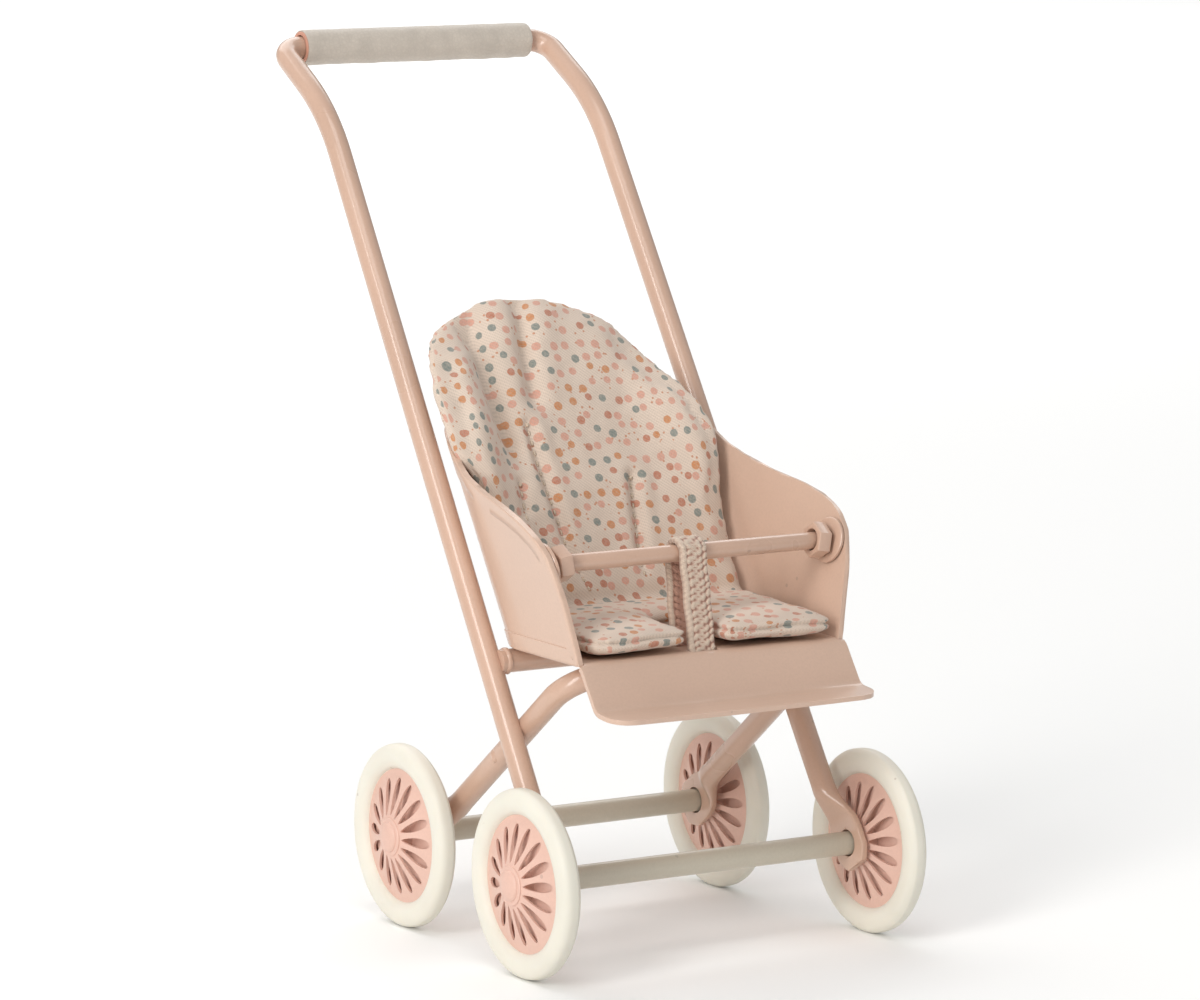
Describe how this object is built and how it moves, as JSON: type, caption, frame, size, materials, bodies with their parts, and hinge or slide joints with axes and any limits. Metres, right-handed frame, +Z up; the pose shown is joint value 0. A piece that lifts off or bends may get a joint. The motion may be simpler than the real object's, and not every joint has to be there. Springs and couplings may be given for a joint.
{
  "type": "doll stroller",
  "caption": "Miniature doll stroller with a bent-rod frame, sheet-metal bucket seat, padded cushion, guard bar, footrest, wrapped push handle and slotted disc wheels.",
  "frame": {"origin": "centre of the bounding box at the floor, between the four wheels' contact and the grip's overhang", "axes": "+Z up, -Y forward (the footrest end), +X across, to the right when the stroller is seen from the front"},
  "size_m": [0.0698, 0.1094, 0.1429],
  "materials": {
    "frame_paint": "semi-gloss rose beige paint on steel rod",
    "sheet_paint": "semi-gloss rose beige paint on sheet metal",
    "disc_paint": "satin dusty pink paint",
    "axle_paint": "satin pale grey-beige paint",
    "tyre": "smooth cream moulded tyre",
    "grip_tube": "dull pink sleeve",
    "grip_leather": "soft beige-grey leather-like wrap",
    "printed_cotton": "cream cotton with small printed dots",
    "knit_tape": "cream and pink knitted tape"
  },
  "bodies": {
    "frame": {"handle_frame": "frame_paint", "leg_frame": "frame_paint", "seat_cross_bar": "frame_paint", "seat_shell": "sheet_paint", "seat_pan": "sheet_paint", "bar_nut_left": "frame_paint", "bar_nut_right": "frame_paint", "bar_washer_left": "frame_paint", "bar_washer_right": "frame_paint", "grip_tube": "grip_tube", "grip_sleeve": "grip_leather", "safety_strap": "knit_tape", "seat_cushion": "printed_cotton"},
    "bar": {"guard_bar": "frame_paint"},
    "axle_front": {"front_axle": "axle_paint", "front_left_hub_cap": "disc_paint", "front_right_hub_cap": "disc_paint"},
    "axle_rear": {"rear_axle": "axle_paint", "rear_left_hub_cap": "disc_paint", "rear_right_hub_cap": "disc_paint"},
    "wheel_front_left": {"front_left_tyre": "tyre", "front_left_disc_outer": "disc_paint", "front_left_disc_inner": "disc_paint", "front_left_hub_bush": "disc_paint"},
    "wheel_front_right": {"front_right_tyre": "tyre", "front_right_disc_outer": "disc_paint", "front_right_disc_inner": "disc_paint", "front_right_hub_bush": "disc_paint"},
    "wheel_rear_left": {"rear_left_tyre": "tyre", "rear_left_disc_outer": "disc_paint", "rear_left_disc_inner": "disc_paint", "rear_left_hub_bush": "disc_paint"},
    "wheel_rear_right": {"rear_right_tyre": "tyre", "rear_right_disc_outer": "disc_paint", "rear_right_disc_inner": "disc_paint", "rear_right_hub_bush": "disc_paint"}
  },
  "joints": [
    {"name": "guard_bar_spin", "type": "hinge", "parent": "frame", "child": "bar", "pos_m": [0, -0.0364, 0.0643], "axis": [1, 0, 0], "continuous": true},
    {"name": "front_axle_spin", "type": "hinge", "parent": "frame", "child": "axle_front", "pos_m": [0, -0.03965, 0.015], "axis": [1, 0, 0], "continuous": true},
    {"name": "rear_axle_spin", "type": "hinge", "parent": "frame", "child": "axle_rear", "pos_m": [0, 0.00285, 0.015], "axis": [1, 0, 0], "continuous": true},
    {"name": "front_left_wheel_spin", "type": "hinge", "parent": "axle_front", "child": "wheel_front_left", "pos_m": [-0.0322, -0.03965, 0.015], "axis": [1, 0, 0], "continuous": true},
    {"name": "front_right_wheel_spin", "type": "hinge", "parent": "axle_front", "child": "wheel_front_right", "pos_m": [0.0322, -0.03965, 0.015], "axis": [1, 0, 0], "continuous": true},
    {"name": "rear_left_wheel_spin", "type": "hinge", "parent": "axle_rear", "child": "wheel_rear_left", "pos_m": [-0.03, 0.00285, 0.015], "axis": [1, 0, 0], "continuous": true},
    {"name": "rear_right_wheel_spin", "type": "hinge", "parent": "axle_rear", "child": "wheel_rear_right", "pos_m": [0.03, 0.00285, 0.015], "axis": [1, 0, 0], "continuous": true}
  ]
}
